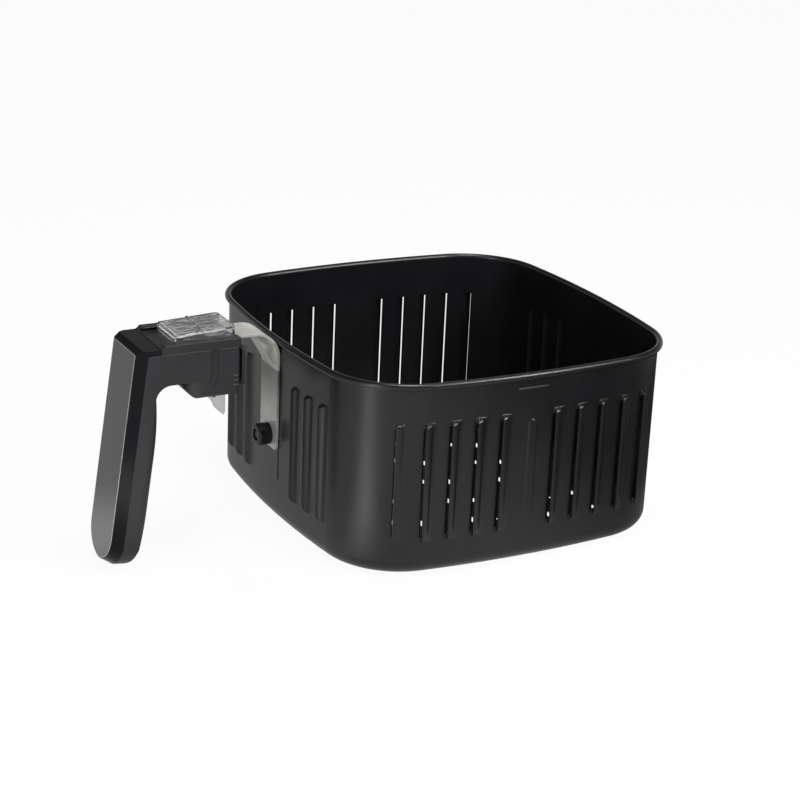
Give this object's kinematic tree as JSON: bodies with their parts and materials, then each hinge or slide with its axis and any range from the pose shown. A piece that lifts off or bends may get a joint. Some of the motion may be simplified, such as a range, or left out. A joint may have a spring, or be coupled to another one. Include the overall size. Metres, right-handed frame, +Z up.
{
  "type": "air fryer basket",
  "caption": "Square louvred frying basket with rolled rim and slotted floor, on a steel bracket with an upright grip, sliding clear guard and push-button latch.",
  "frame": {"origin": "centre of the basket floor's underside, where the basket rests in its pan", "axes": "+Z up; the handle points to -Y; X runs across the handle, and the handle is symmetric about X = 0"},
  "size_m": [0.2232, 0.3154, 0.1333],
  "materials": {
    "nonstick_coat": "satin black non-stick coating on drawn steel",
    "bracket_steel": "brushed stainless",
    "fastener_steel": "zinc plated",
    "bumper_rubber": "smooth silicone rubber",
    "housing_plastic": "fine satin charcoal",
    "cover_plastic": "fine satin charcoal",
    "bezel_gloss": "high gloss black",
    "inlay_metal": "dark titanium grey, fine brushed",
    "guard_clear": "clear polycarbonate",
    "button_plastic": "satin gloss black",
    "spring_steel": "bright spring wire",
    "latch_steel": "bright pressed steel"
  },
  "bodies": {
    "basket": {"basket_shell": "nonstick_coat", "bracket": "bracket_steel", "bracket_stud_upper": "fastener_steel", "bracket_stud_lower": "fastener_steel", "bumper": "bumper_rubber", "bumper_rivet": "fastener_steel", "handle_housing": "housing_plastic", "top_cover": "cover_plastic", "end_flange": "cover_plastic", "grip_bezel": "bezel_gloss", "grip_inlay": "inlay_metal", "plate_screw_left": "fastener_steel", "plate_screw_right": "fastener_steel", "cover_screw": "fastener_steel", "grip_screw_upper": "fastener_steel", "grip_screw_lower": "fastener_steel", "latch_pin": "fastener_steel", "button_spring": "spring_steel"},
    "guard": {"button_guard": "guard_clear"},
    "button": {"release_button": "button_plastic"},
    "latch": {"latch_lever": "latch_steel", "latch_spring": "spring_steel"}
  },
  "joints": [
    {"name": "guard_slide", "type": "slide", "parent": "basket", "child": "guard", "axis": [0, -1, 0], "range_m": [0, 0.017]},
    {"name": "button_press", "type": "slide", "parent": "basket", "child": "button", "axis": [0, 0, -1], "range_m": [0, 0.0022], "stiffness_N_per_m": 600, "springref_m": -0.001, "deforming": ["button_spring"]},
    {"name": "latch_swing", "type": "hinge", "parent": "basket", "child": "latch", "pos_m": [0, -0.1375, 0.097], "axis": [1, 0, 0], "range_deg": [0, 14.4], "stiffness_Nm_per_rad": 0.02, "springref_deg": -11.46}
  ],
  "couplings": [
    {"joint": "latch_swing", "follows": "button_press", "rad_per_m": 113.6}
  ]
}
